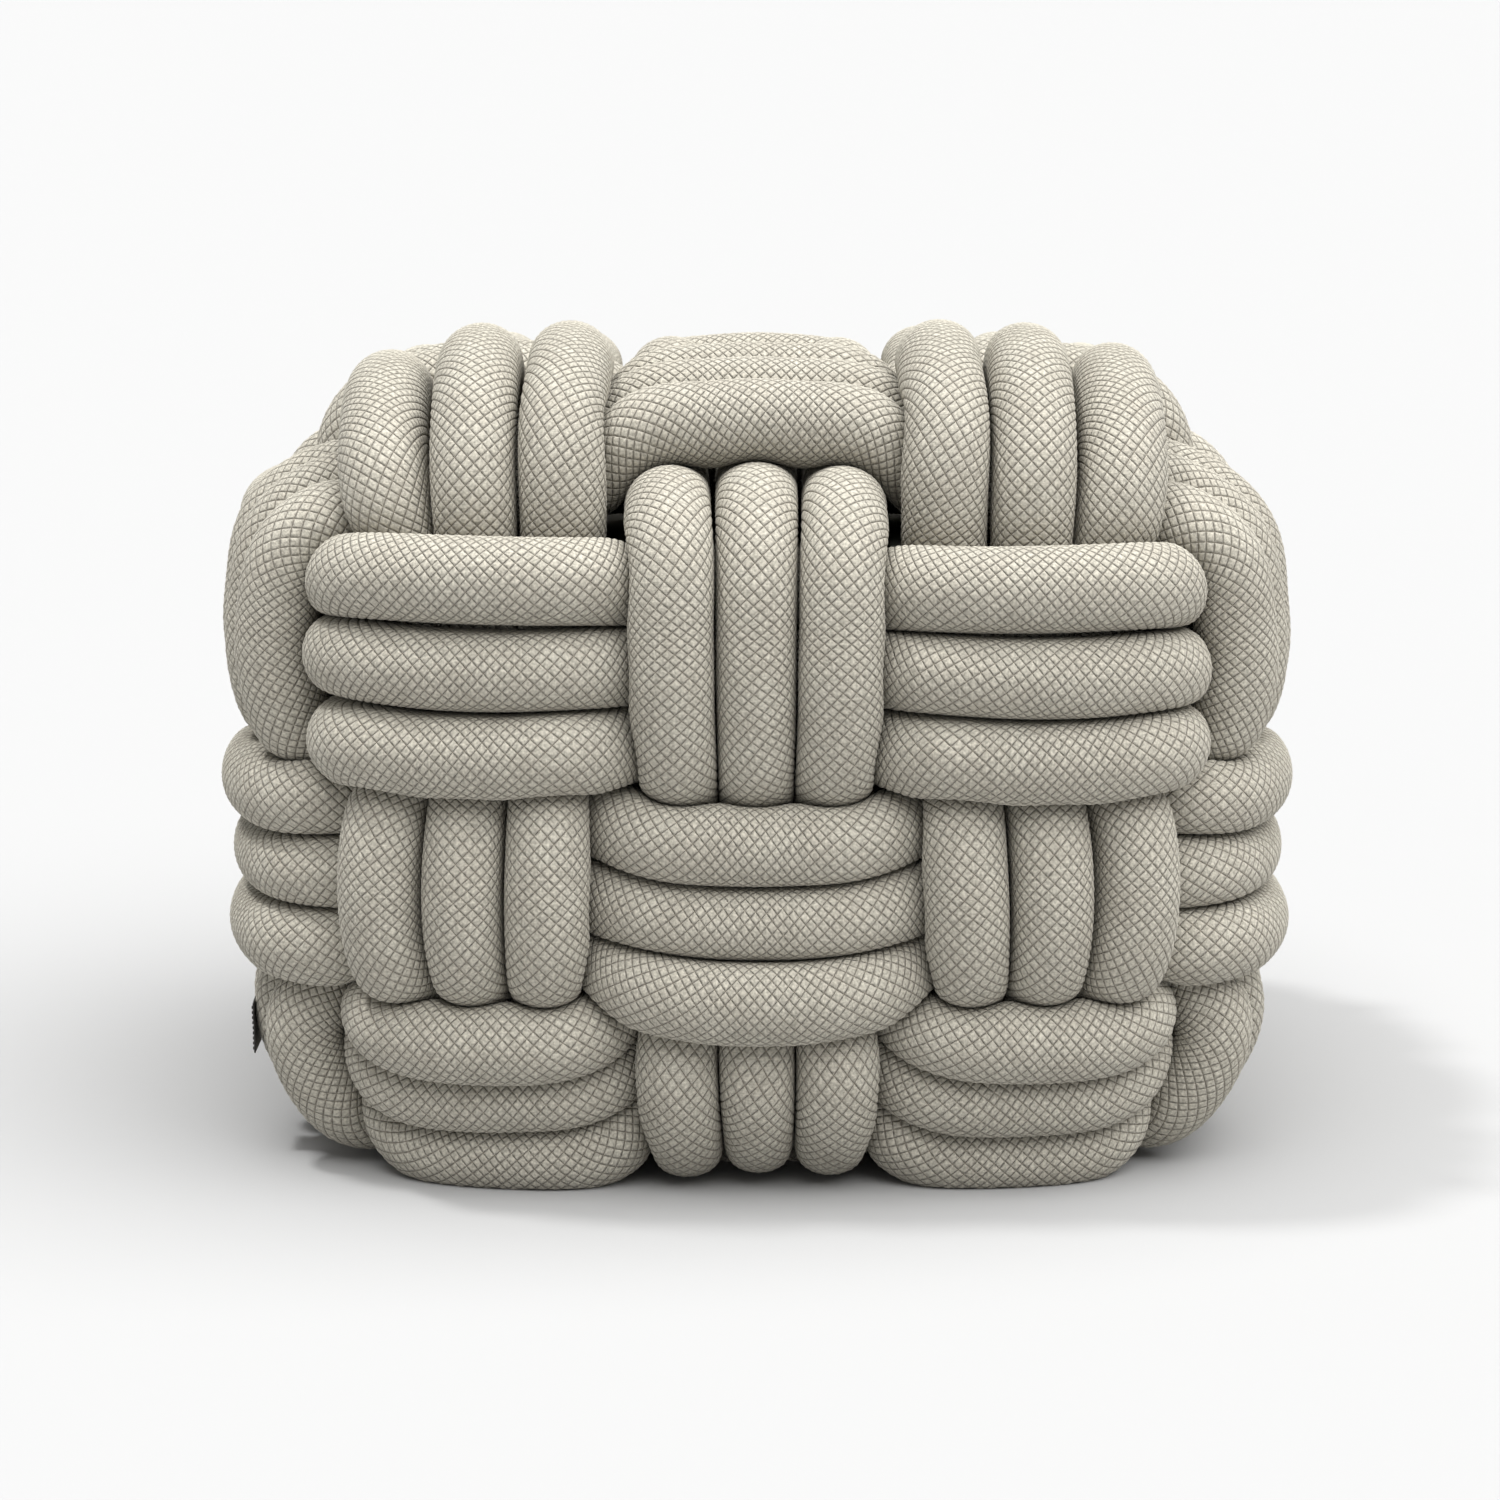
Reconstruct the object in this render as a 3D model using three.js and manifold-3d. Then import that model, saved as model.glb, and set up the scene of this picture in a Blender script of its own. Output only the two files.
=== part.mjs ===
// Woven floor cushion: 27 soft stuffed tubes woven three ways round a foam core.
// Millimetres, +Z up, front toward -Y, standing on z = 0.
import * as THREE from 'three';
import Module from 'manifold-3d';

// overall form
const HALF_WIDTH = 236;      // mid-surface of the weave, centre to side
const NARROWING = 0.03;      // share of its width lost towards the top
const TOP_MID = 389;         // height of the mid-surface at the top
const BOTTOM_MID = 36;       // and at the underside
const WAIST = 190;           // height of the widest section
const PLAN_POWER = 5;        // squareness seen from above
const UPPER_POWER = 4.7;     // softness of the upper edges
const LOWER_POWER = 7;       // tighter lower edges, pressed on the floor
const TOP_DISH = 20;         // how far the middle of the top sinks
const CROWN = { column: 11, cross: -8.3 };  // over tubes on top, along the front
const CROWN_STEP = { column: 0, cross: 5.2 };    // more for each tube further back
const TUCK = { column: 7, cross: 0 };       // those that dive under are drawn down there
const BACK_DROP = 22;        // how much lower the top lies along the back
const FRONT_REACH = 200;     // depth over which the front becomes the back

// weave
const BAND_PITCH = 141;      // centre to centre of neighbouring bands
const TUBE_PITCH = 40.5;     // tubes side by side in a band
const HALF_LIFT = 19;        // over and under tubes sit this far off the mid-surface
const LIFT_SWING = 1.5;      // above 1 the tubes stay level across a band
const FACE_SHARE = 0.62;     // a crossing counts on a face beyond this share of its reach
const ROW_HEIGHTS = {
  base: [35, 61, 91.5],
  mid: [113, 152, 192],
  top: [225, 268, 308],
};
const ROW_WIDTHS = {         // shares of the form's plan at the waist
  base: [0.9, 0.905, 0.905],
  mid: [0.985, 0.985, 0.96],
  top: [1, 1.015, 1.01],
};
const ROW_SAG = { base: 6, mid: 12, top: 4 };    // on the front and back
const ROW_FAN = 1;           // outer tubes of a band spread at its middle
const SIDE_RISE = { base: 0, mid: 11, top: 0 };  // rows lie higher on the two sides
const ROW_TILT = {           // and lower on the right than on the left
  base: [0, 0, 0],
  mid: [0, 0, 0],
  top: [1.3, 5, 3.5],
};
const LOOSE_POWER = 1.5;     // slump grows with the lift
const ABOVE_POWER = 4;       // and is felt near the top only
const FRONT_SHARE = 0.5;     // share of the front's reach at the middle of the depth
const SPREAD_LOW = 0.9;      // share of the tube pitch at the floor
const SPREAD_HIGH = 1.1;     // and at the top
const BASE_TAPER = 0.1;      // bands draw in by this share underneath
const TAPER_TOP = 120;       // and reach full pitch at this height
const LEAN_SHARE = 0.3;      // how much of a lift may tip a ring out of its plane
const STEADY = 16;           // row normals are read this far inside the form's ends

// tube thickness (radius) and how the rings are divided
const OVER_RADIUS = 19.8;
const UNDER_RADIUS = 16.5;
const NECK_RADIUS = 14.5;
const STEPS = 48;            // rings of corners along each tube
const SIDES = 8;             // corners round each tube
const OUTLINE_SAMPLES = 720; // fine points a path is drawn with first
const OUTLINE_PASSES = 3;    // times its plane is moved to suit the height
const CLEARANCE = 0.7;       // air between neighbouring tubes

// settling of the tubes against each other
const SETTLE_ROUNDS = 260;
const CLEAR_ROUNDS = 60;
const PAIR_ROUNDS = 20;      // rounds between fresh lists of near pieces
const PAIR_MARGIN = 6;
const HOME_PULL = 0.03;
const STIFFNESS = 0.12;
const CONTACT_SHARE = 0.5;
const FLOOR_SINK = 0.9;      // share of the radius a tube keeps above the floor
const FLOOR_PRESS = 3;       // then the weight presses the underside flat this far
const FILL_OUT = 4;          // then each tube swells by up to this much
const FULL_RADIUS = 22;      // but no further than this
const SLIM_ROUNDS = 60;
const SLIM_SHARE = 0.52;

// inside and trim
const CORE_GAP = 1.5;        // lining to innermost tube
const DEPTH_STEP = 0.25;     // how finely that depth is measured
const DEPTH_LIMIT = 120;
const LINING_GAP = 0.4;
const LINING_THICKNESS = 1.2;
const SLIT_LENGTH = 180;
const SLIT_WIDTH = 8;
const SLIT_DEPTH = 80;
const TAG = {
  host: 'cross_front_tube_2',
  height: 27,
  depth: 30,
  thickness: 1.4,
  centreHeight: 64,
  gap: 0.4,
  probes: 6,
};

const fabric = new THREE.MeshStandardMaterial({ color: '#B9B5A9', roughness: 0.95, metalness: 0 });
const foam = new THREE.MeshStandardMaterial({ color: '#E8E3D2', roughness: 0.9, metalness: 0 });
const lining = new THREE.MeshStandardMaterial({ color: '#D9D7D0', roughness: 0.9, metalness: 0 });
const tagCloth = new THREE.MeshStandardMaterial({ color: '#34302C', roughness: 0.8, metalness: 0 });

const AXES = { row: 2, column: 0, cross: 1 };
const BANDS = {
  row: ['base', 'mid', 'top'],
  column: ['left', 'mid', 'right'],
  cross: ['front', 'mid', 'back'],
};
const bandIndex = (family, band) => BANDS[family].indexOf(band) - 1;

const clamp01 = (value) => Math.max(0, Math.min(1, value));

// Value below 1 inside the mid-surface, 1 on it. `shrink` moves it inward.
function formValue(p, shrink = 0) {
  const up = clamp01((p.z - WAIST) / (TOP_MID - WAIST));
  const half = HALF_WIDTH * (1 - NARROWING * up) - shrink;
  const plan = Math.abs(p.x / half) ** PLAN_POWER + Math.abs(p.y / half) ** PLAN_POWER;
  const upper = p.z > WAIST;
  const power = upper ? UPPER_POWER : LOWER_POWER;
  const rise = (upper ? TOP_MID - WAIST : WAIST - BOTTOM_MID) - shrink;
  return plan ** (power / PLAN_POWER) + Math.abs((p.z - WAIST) / rise) ** power;
}

// Where a ray from `centre` along `heading` meets the form.
function formPoint(centre, heading, shrink = 0) {
  let near = 0;
  let far = 2 * HALF_WIDTH;
  const p = new THREE.Vector3();
  for (let i = 0; i < 40; i++) {
    const middle = (near + far) / 2;
    p.copy(centre).addScaledVector(heading, middle);
    if (formValue(p, shrink) < 1) near = middle;
    else far = middle;
  }
  return p;
}

function formNormal(p) {
  const step = 0.5;
  const normal = new THREE.Vector3();
  for (const axis of ['x', 'y', 'z']) {
    const ahead = p.clone();
    const behind = p.clone();
    ahead[axis] += step;
    behind[axis] -= step;
    normal[axis] = formValue(ahead) - formValue(behind);
  }
  return normal.normalize();
}

// The lower part of the weave is drawn in by the weight above it.
function taper(height) {
  const rise = (height - BOTTOM_MID) / (TAPER_TOP - BOTTOM_MID);
  const missing = 1 - clamp01(rise);
  return 1 - BASE_TAPER * missing * missing;
}

// Tubes of a band lie wider apart towards the top.
function spread(height) {
  return SPREAD_LOW + (SPREAD_HIGH - SPREAD_LOW) * clamp01(height / TOP_MID);
}

// Signed lift (-1 under, +1 over) at each sample of a ring.
function liftAlong(family, band, points) {
  const marks = [];
  const own = bandIndex(family, band);
  const [first, second] = [0, 1, 2].filter((axis) => axis !== AXES[family]);
  for (let i = 0; i < points.length; i++) {
    const a = points[i].toArray();
    const b = points[(i + 1) % points.length].toArray();
    for (const along of [first, second]) {
      const facing = along === first ? second : first;
      crossingLevels(along, a[2]).forEach((level, k) => {
        const crossed = (a[along] - level) * (b[along] - level) <= 0 && a[along] !== b[along];
        if (!crossed || !onFace(a, facing)) return;
        const share = (level - a[along]) / (b[along] - a[along]);
        const even = (Math.abs(own) + Math.abs(k - 1)) % 2 === 0;
        marks.push({ at: i + share, over: even === evenWins(family, facing) ? 1 : -1 });
      });
    }
  }
  marks.sort((m, n) => m.at - n.at);
  return points.map((_, i) => liftBetween(marks, i, points.length));
}

function crossingLevels(axis, height) {
  if (axis === 2) return BANDS.row.map((band) => ROW_HEIGHTS[band][1]);
  return [-1, 0, 1].map((index) => index * BAND_PITCH * taper(height));
}

// True when the point lies on the face whose normal is the given axis.
function onFace(p, axis) {
  const centre = axis === 2 ? WAIST : 0;
  const reach = axis === 2 ? (p[2] > WAIST ? TOP_MID - WAIST : WAIST - BOTTOM_MID) : HALF_WIDTH;
  return Math.abs(p[axis] - centre) > FACE_SHARE * reach;
}

// On even crossings the row is over on the front and back, the column on the
// top and underside, the cross band on the two sides.
function evenWins(family, facing) {
  const winner = { 0: 'cross', 1: 'row', 2: 'column' }[facing];
  return winner === family;
}

function liftBetween(marks, i, total) {
  const last = marks.length - 1;
  let k = marks.findIndex((mark) => mark.at > i);
  if (k < 0) k = 0;
  const next = marks[k];
  const previous = marks[k === 0 ? last : k - 1];
  const span = (next.at - previous.at + total) % total;
  const share = ((i - previous.at + total) % total) / span;
  const swing = Math.cos(Math.PI * share) * LIFT_SWING;
  const level = Math.max(-1, Math.min(1, swing));
  return previous.over * Math.sin(level * Math.PI / 2);
}

// Where a column or cross tube's plane lies at a given height.
function planeAt(family, band, tube, height) {
  return bandIndex(family, band) * BAND_PITCH * taper(height) + (tube - 1) * TUBE_PITCH * spread(height);
}

// One point of a tube's outline, before it is lifted over or under.
function outlinePoint(family, band, tube, heading) {
  const axis = AXES[family];
  const centre = new THREE.Vector3(0, 0, WAIST);
  if (family === 'row') {
    const p = formPoint(centre, heading).multiplyScalar(ROW_WIDTHS[band][tube]);
    return p.setZ(ROW_HEIGHTS[band][tube]);
  }
  let height = WAIST;
  let p = centre;
  for (let pass = 0; pass < OUTLINE_PASSES; pass++) {
    const place = centre.clone().setComponent(axis, planeAt(family, band, tube, height));
    p = formPoint(place, heading);
    height = p.z;
  }
  return p;
}

// Direction a tube is lifted in: off the form, and mostly within its own plane.
function liftNormal(family, p) {
  if (family === 'row') {
    const height = Math.max(BOTTOM_MID + STEADY, Math.min(TOP_MID - STEADY / 4, p.z));
    return formNormal(p.clone().setZ(height));
  }
  const normal = formNormal(p);
  const axis = AXES[family];
  return normal.setComponent(axis, normal.getComponent(axis) * LEAN_SHARE).normalize();
}

// The top dishes in, crowns along the front and drops at the back; rows sag.
function slump(family, band, tube, p, lift, outward) {
  const loose = Math.max(0, lift) ** LOOSE_POWER;
  const above = clamp01((p.z - WAIST) / (TOP_MID - WAIST)) ** ABOVE_POWER;
  const inner = clamp01(1 - (p.x / HALF_WIDTH) ** 2) * clamp01(1 - (p.y / HALF_WIDTH) ** 2);
  const dish = -TOP_DISH * above * inner ** 2;
  if (family === 'row') {
    const sag = ROW_SAG[band] * Math.abs(outward.y);
    const rise = SIDE_RISE[band] * Math.abs(outward.x);
    const tilt = ROW_TILT[band][tube] * p.x / HALF_WIDTH;
    return dish + ((tube - 1) * ROW_FAN - sag) * loose + rise - tilt;
  }
  const front = clamp01(FRONT_SHARE - p.y / FRONT_REACH);
  const crown = CROWN[family] + (tube - 1) * CROWN_STEP[family];
  const tuck = TUCK[family] * Math.max(0, -lift);
  return dish + above * ((crown * loose - tuck) * front - BACK_DROP * (1 - front));
}

// First path of one tube, before settling.
function drawRing(family, band, tube) {
  const axis = AXES[family];
  const dense = [];
  for (let i = 0; i < OUTLINE_SAMPLES; i++) {
    const turn = 2 * Math.PI * i / OUTLINE_SAMPLES;
    const heading = new THREE.Vector3();
    heading.setComponent((axis + 1) % 3, Math.cos(turn));
    heading.setComponent((axis + 2) % 3, Math.sin(turn));
    dense.push(outlinePoint(family, band, tube, heading));
  }
  const points = evenSpacing(dense, STEPS);
  const lift = liftAlong(family, band, points);
  const outward = points.map((p) => liftNormal(family, p));
  const path = points.map((p, i) => {
    const lifted = p.clone().addScaledVector(outward[i], lift[i] * HALF_LIFT);
    return lifted.setZ(lifted.z + slump(family, band, tube, p, lift[i], outward[i]));
  });
  const radius = lift.map((value, i) => tubeRadius(value) * spread(points[i].z));
  return {
    name: `${family}_${band}_tube_${tube + 1}`,
    home: path.map((p) => p.clone()),
    outward,
    least: radius.map(() => 0),
    path, radius, lift,
  };
}

function tubeRadius(lift) {
  const neck = 1 - Math.abs(lift);
  const full = lift > 0 ? OVER_RADIUS : UNDER_RADIUS;
  return full + (NECK_RADIUS - full) * neck;
}

function evenSpacing(points, count) {
  const curve = new THREE.CatmullRomCurve3(points, true);
  curve.arcLengthDivisions = points.length;
  return curve.getSpacedPoints(count).slice(0, count);
}

// Closest points of two centre-line pieces: shares along each and the distance.
function closest(a0, a1, b0, b1) {
  const d1 = a1.clone().sub(a0);
  const d2 = b1.clone().sub(b0);
  const r = a0.clone().sub(b0);
  const a = d1.dot(d1);
  const e = d2.dot(d2);
  const f = d2.dot(r);
  const c = d1.dot(r);
  const b = d1.dot(d2);
  const spread = a * e - b * b;
  const limit = (v) => Math.max(0, Math.min(1, v));
  let s = spread > 1e-9 ? limit((b * f - c * e) / spread) : 0.5;
  let t = (b * s + f) / e;
  if (t < 0 || t > 1) {
    t = limit(t);
    s = limit((b * t - c) / a);
  }
  const pa = a0.clone().addScaledVector(d1, s);
  const pb = b0.clone().addScaledVector(d2, t);
  const apart = pa.sub(pb);
  return { s, t, apart, distance: apart.length() };
}

// Pairs of pieces near enough to touch.
function nearPairs(rings) {
  const pieces = [];
  rings.forEach((ring, r) => ring.path.forEach((p, i) => {
    const q = ring.path[(i + 1) % STEPS];
    pieces.push({ r, i, middle: p.clone().add(q).multiplyScalar(0.5), reach: p.distanceTo(q) / 2 });
  }));
  const pairs = [];
  for (let m = 0; m < pieces.length; m++) {
    for (let n = m + 1; n < pieces.length; n++) {
      if (pieces[m].r === pieces[n].r) continue;
      const limit = pieces[m].reach + pieces[n].reach + 2 * OVER_RADIUS + PAIR_MARGIN;
      if (pieces[m].middle.distanceToSquared(pieces[n].middle) < limit * limit) {
        pairs.push([pieces[m].r, pieces[m].i, pieces[n].r, pieces[n].i]);
      }
    }
  }
  return pairs;
}

function touch(rings, [r1, i1, r2, i2]) {
  const A = rings[r1];
  const B = rings[r2];
  const j1 = (i1 + 1) % STEPS;
  const j2 = (i2 + 1) % STEPS;
  const hit = closest(A.path[i1], A.path[j1], B.path[i2], B.path[j2]);
  const radii = A.radius[i1] * (1 - hit.s) + A.radius[j1] * hit.s
    + B.radius[i2] * (1 - hit.t) + B.radius[j2] * hit.t;
  return { ...hit, A, B, j1, j2, bite: radii + CLEARANCE - hit.distance };
}

function pushApart(rings, pair) {
  const hit = touch(rings, pair);
  if (hit.bite <= 0 || hit.distance < 1e-6) return;
  const push = hit.apart.multiplyScalar(CONTACT_SHARE * hit.bite / hit.distance);
  const [, i1, , i2] = pair;
  hit.A.path[i1].addScaledVector(push, 1 - hit.s);
  hit.A.path[hit.j1].addScaledVector(push, hit.s);
  hit.B.path[i2].addScaledVector(push, hit.t - 1);
  hit.B.path[hit.j2].addScaledVector(push, -hit.t);
}

// Relax every ring: springs home, bends smoothly, keeps clear of its neighbours.
function settle(rings) {
  let pairs = [];
  for (let round = 0; round < SETTLE_ROUNDS + CLEAR_ROUNDS; round++) {
    if (round % PAIR_ROUNDS === 0) pairs = nearPairs(rings);
    if (round < SETTLE_ROUNDS) rings.forEach(relaxRing);
    pairs.forEach((pair) => pushApart(rings, pair));
    rings.forEach(keepOffFloor);
  }
  rings.forEach((ring) => ring.path.forEach((p) => { p.z -= FLOOR_PRESS; }));
  slimAll(rings);
  rings.forEach(fillOut);
  slimAll(rings);
}

function slimAll(rings) {
  const pairs = nearPairs(rings);
  for (let round = 0; round < SLIM_ROUNDS; round++) pairs.forEach((pair) => slimDown(rings, pair));
}

function relaxRing(ring) {
  const before = ring.path.map((p) => p.clone());
  ring.path.forEach((p, i) => {
    const mean = before[(i + 1) % STEPS].clone().lerp(before[(i + STEPS - 1) % STEPS], 0.5);
    p.lerp(mean, STIFFNESS);
    p.lerp(ring.home[i], HOME_PULL);
  });
}

function keepOffFloor(ring) {
  ring.path.forEach((p, i) => {
    p.z = Math.max(p.z, ring.radius[i] * FLOOR_SINK);
  });
}

// Swell into whatever room is left; the settled size is never given up.
function fillOut(ring) {
  ring.least = ring.radius.slice();
  const swollen = (radius) => Math.min(FULL_RADIUS, radius + FILL_OUT);
  ring.radius = ring.least.map((radius) => Math.max(radius, swollen(radius)));
}

// Soft tubes squash rather than bite into each other.
function slimDown(rings, pair) {
  const hit = touch(rings, pair);
  if (hit.bite <= 0) return;
  const [, i1, , i2] = pair;
  const share = hit.bite * SLIM_SHARE;
  slimNode(hit.A, i1, share * (1 - hit.s));
  slimNode(hit.A, hit.j1, share * hit.s);
  slimNode(hit.B, i2, share * (1 - hit.t));
  slimNode(hit.B, hit.j2, share * hit.t);
}

function slimNode(ring, i, amount) {
  ring.radius[i] = Math.max(ring.least[i], ring.radius[i] - amount);
}

// Closed skin of one tube, its outer corners turned to face outward.
function tubeGeometry(ring) {
  const positions = [];
  const faces = [];
  ring.path.forEach((p, i) => {
    const next = ring.path[(i + 1) % STEPS];
    const previous = ring.path[(i + STEPS - 1) % STEPS];
    const along = next.clone().sub(previous).normalize();
    const outward = ring.outward[i].clone();
    outward.addScaledVector(along, -outward.dot(along)).normalize();
    const sideways = along.clone().cross(outward);
    for (let k = 0; k < SIDES; k++) {
      const turn = 2 * Math.PI * (k + 0.5) / SIDES;
      const corner = p.clone();
      corner.addScaledVector(outward, Math.cos(turn) * ring.radius[i]);
      corner.addScaledVector(sideways, Math.sin(turn) * ring.radius[i]);
      positions.push(corner.x, corner.y, Math.max(0, corner.z));
      const a = i * SIDES + k;
      const b = i * SIDES + (k + 1) % SIDES;
      const c = ((i + 1) % STEPS) * SIDES + k;
      const d = ((i + 1) % STEPS) * SIDES + (k + 1) % SIDES;
      faces.push(a, b, c, b, d, c);
    }
  });
  return indexed(positions, faces);
}

function indexed(positions, faces) {
  const geometry = new THREE.BufferGeometry();
  geometry.setAttribute('position', new THREE.Float32BufferAttribute(positions, 3));
  geometry.setIndex(faces);
  return geometry;
}

// Rounded block following the form, moved inward by `shrink`.
function blockGeometry(shrink, around = 24, levels = 12) {
  const positions = [];
  const faces = [];
  const centre = new THREE.Vector3(0, 0, WAIST);
  const place = (tilt, turn) => {
    const flat = Math.cos(tilt);
    const heading = new THREE.Vector3(flat * Math.cos(turn), flat * Math.sin(turn), Math.sin(tilt));
    positions.push(...formPoint(centre, heading, shrink).toArray());
  };
  for (let j = 1; j < levels; j++) {
    for (let i = 0; i < around; i++) place(Math.PI * (j / levels - 0.5), 2 * Math.PI * i / around);
  }
  place(-Math.PI / 2, 0);
  place(Math.PI / 2, 0);
  const bottom = (levels - 1) * around;
  const top = bottom + 1;
  for (let i = 0; i < around; i++) {
    const n = (i + 1) % around;
    faces.push(bottom, n, i);
    const last = (levels - 2) * around;
    faces.push(top, last + i, last + n);
    for (let j = 0; j < levels - 2; j++) {
      const low = j * around;
      const high = low + around;
      faces.push(low + i, low + n, high + i, low + n, high + n, high + i);
    }
  }
  return indexed(positions, faces);
}

// Deepest the woven wall reaches in from the mid-surface.
function wallDepth(rings) {
  let depth = 0;
  for (const ring of rings) {
    ring.path.forEach((p, i) => {
      let shrink = 0;
      while (shrink < DEPTH_LIMIT && formValue(p, shrink) < 1) shrink += DEPTH_STEP;
      depth = Math.max(depth, shrink + ring.radius[i]);
    });
  }
  return depth;
}

function toSolid(wasm, geometry) {
  const mesh = new wasm.Mesh({
    numProp: 3,
    vertProperties: new Float32Array(geometry.getAttribute('position').array),
    triVerts: new Uint32Array(geometry.getIndex().array),
  });
  return new wasm.Manifold(mesh);
}

function fromSolid(solid) {
  const mesh = solid.getMesh();
  return indexed(Array.from(mesh.vertProperties), Array.from(mesh.triVerts));
}

// Cloth bag round the foam, open along a slit underneath.
function liningGeometry(wasm, shrink) {
  const outer = toSolid(wasm, blockGeometry(shrink));
  const inner = toSolid(wasm, blockGeometry(shrink + LINING_THICKNESS));
  const knife = wasm.Manifold.cube([SLIT_LENGTH, SLIT_WIDTH, SLIT_DEPTH], true);
  const slit = knife.translate([0, 0, BOTTOM_MID + shrink]);
  return fromSolid(outer.subtract(inner).subtract(slit));
}

function addMesh(group, name, geometry, material) {
  geometry.computeVertexNormals();
  const mesh = new THREE.Mesh(geometry, material);
  mesh.name = name;
  group.add(mesh);
}

// Flat woven tag lying against the side tubes near the base.
function tagGeometry(rings) {
  const host = rings.find((ring) => ring.name === TAG.host);
  const miss = (p) => Math.abs(p.z - TAG.centreHeight) + (p.x > 0 ? HALF_WIDTH : 0);
  const seat = host.path.reduce((best, p) => (miss(p) < miss(best) ? p : best));
  let edge = 0;
  for (const ring of rings) {
    ring.path.forEach((p, i) => {
      for (let part = 0; part < TAG.probes; part++) {
        const next = ring.path[(i + 1) % STEPS];
        const q = p.clone().lerp(next, part / TAG.probes);
        const radius = Math.max(ring.radius[i], ring.radius[(i + 1) % STEPS]);
        const aside = Math.max(0, Math.abs(q.y - seat.y) - TAG.depth / 2);
        const above = Math.max(0, Math.abs(q.z - TAG.centreHeight) - TAG.height / 2);
        const reach = radius * radius - aside * aside - above * above;
        if (reach > 0) edge = Math.min(edge, q.x - Math.sqrt(reach));
      }
    });
  }
  const geometry = new THREE.BoxGeometry(TAG.thickness, TAG.depth, TAG.height);
  return geometry.translate(edge - TAG.gap - TAG.thickness / 2, seat.y, TAG.centreHeight);
}

async function buildCushion() {
  const wasm = await Module();
  wasm.setup();
  const rings = [];
  for (const family of Object.keys(BANDS)) {
    for (const band of BANDS[family]) {
      for (let tube = 0; tube < 3; tube++) rings.push(drawRing(family, band, tube));
    }
  }
  settle(rings);
  const group = new THREE.Group();
  for (const ring of rings) addMesh(group, ring.name, tubeGeometry(ring), fabric);
  const inset = wallDepth(rings) + CORE_GAP;
  addMesh(group, 'core_lining', liningGeometry(wasm, inset), lining);
  addMesh(group, 'core_foam', blockGeometry(inset + LINING_THICKNESS + LINING_GAP), foam);
  addMesh(group, 'label_tag', tagGeometry(rings), tagCloth);
  return group;
}

export default await buildCushion();
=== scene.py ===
import math

import bpy
import numpy as np
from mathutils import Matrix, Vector


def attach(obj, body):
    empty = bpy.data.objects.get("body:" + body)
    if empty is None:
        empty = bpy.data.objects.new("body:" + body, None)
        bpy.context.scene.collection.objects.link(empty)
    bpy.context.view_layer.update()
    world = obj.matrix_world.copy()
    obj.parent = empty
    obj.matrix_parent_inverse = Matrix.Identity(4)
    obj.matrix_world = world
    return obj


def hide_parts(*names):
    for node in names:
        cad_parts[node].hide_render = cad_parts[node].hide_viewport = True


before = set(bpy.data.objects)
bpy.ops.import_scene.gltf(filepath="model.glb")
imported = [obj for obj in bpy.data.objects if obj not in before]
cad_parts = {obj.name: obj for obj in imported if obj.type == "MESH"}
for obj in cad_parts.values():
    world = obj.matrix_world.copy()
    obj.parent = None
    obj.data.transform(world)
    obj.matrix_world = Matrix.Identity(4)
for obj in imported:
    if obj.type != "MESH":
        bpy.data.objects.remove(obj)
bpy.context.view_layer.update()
print("frame loaded")

# The overall form and how the tubes are woven, in metres.
weave = {
    "halfWidth": 0.236,       # middle of the woven wall, centre to side
    "narrowing": 0.03,        # share of its width lost towards the top
    "topMid": 0.389,          # its height at the top
    "bottomMid": 0.036,       # and underneath
    "waist": 0.190,           # height of the widest section
    "planPower": 5.0,         # squareness from above
    "upperPower": 4.7,
    "lowerPower": 7.0,
    "topDish": 0.020,         # how far the middle of the top sinks
    "crown": {"column": 0.011, "cross": -0.0083},    # tubes on top, along the front
    "crownStep": {"column": 0, "cross": 0.0052},     # more for each tube further back
    "tuck": {"column": 0.007, "cross": 0},     # how far those that dive under are drawn down there
    "backDrop": 0.022,        # how much lower the top lies along the back
    "bandPitch": 0.141,
    "tubePitch": 0.0405,
    "spread": (0.90, 1.10),   # tube pitch share at the floor and at the top
    "halfLift": 0.0188,
    "liftSwing": 1.5,
    "faceShare": 0.62,
    "baseTaper": 0.10,
    "taperTop": 0.12,
    "rowHeights": {
        "base": (0.035, 0.061, 0.0915),
        "mid": (0.113, 0.152, 0.192),
        "top": (0.225, 0.268, 0.308),
    },
    "rowWidths": {            # shares of halfWidth
        "base": (0.90, 0.905, 0.905),
        "mid": (0.985, 0.985, 0.96),
        "top": (1.0, 1.015, 1.01),
    },
    "rowSag": {"base": 0.006, "mid": 0.012, "top": 0.004},
    "sideRise": {"base": 0, "mid": 0.011, "top": 0},    # rows lie higher on the sides
    "rowTilt": {"base": (0, 0, 0), "mid": (0, 0, 0), "top": (0.0013, 0.0050, 0.0035)},
    "rowFan": 0.001,          # outer tubes of a band spread at its middle
    "sideBulge": 0.003,       # outer bands bow away from the middle at the waist
    "lean": {"left": 0, "mid": -0.002, "right": -0.006},    # columns lean left towards the top
    "wobble": 0.0012,         # small unevenness of every tube
    "wobbleWaves": (3, 4, 5),
}

# How the stuffed tubes push on each other.
stuffing = {
    "radius": 0.0225,         # a free tube
    "contact": {"over": 0.0198, "under": 0.0168, "neck": 0.0140},
    "nodes": 144,             # along each tube while settling
    "rounds": 320,
    "homePull": 0.035,
    "stiffness": 0.10,
    "push": 0.35,
    "floorShare": 0.92,
    "crease": 8,              # higher is a sharper edge where tubes meet
    "swell": 1.08,            # most a squeezed tube fattens elsewhere
    "fill": 0.9,
}

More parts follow.
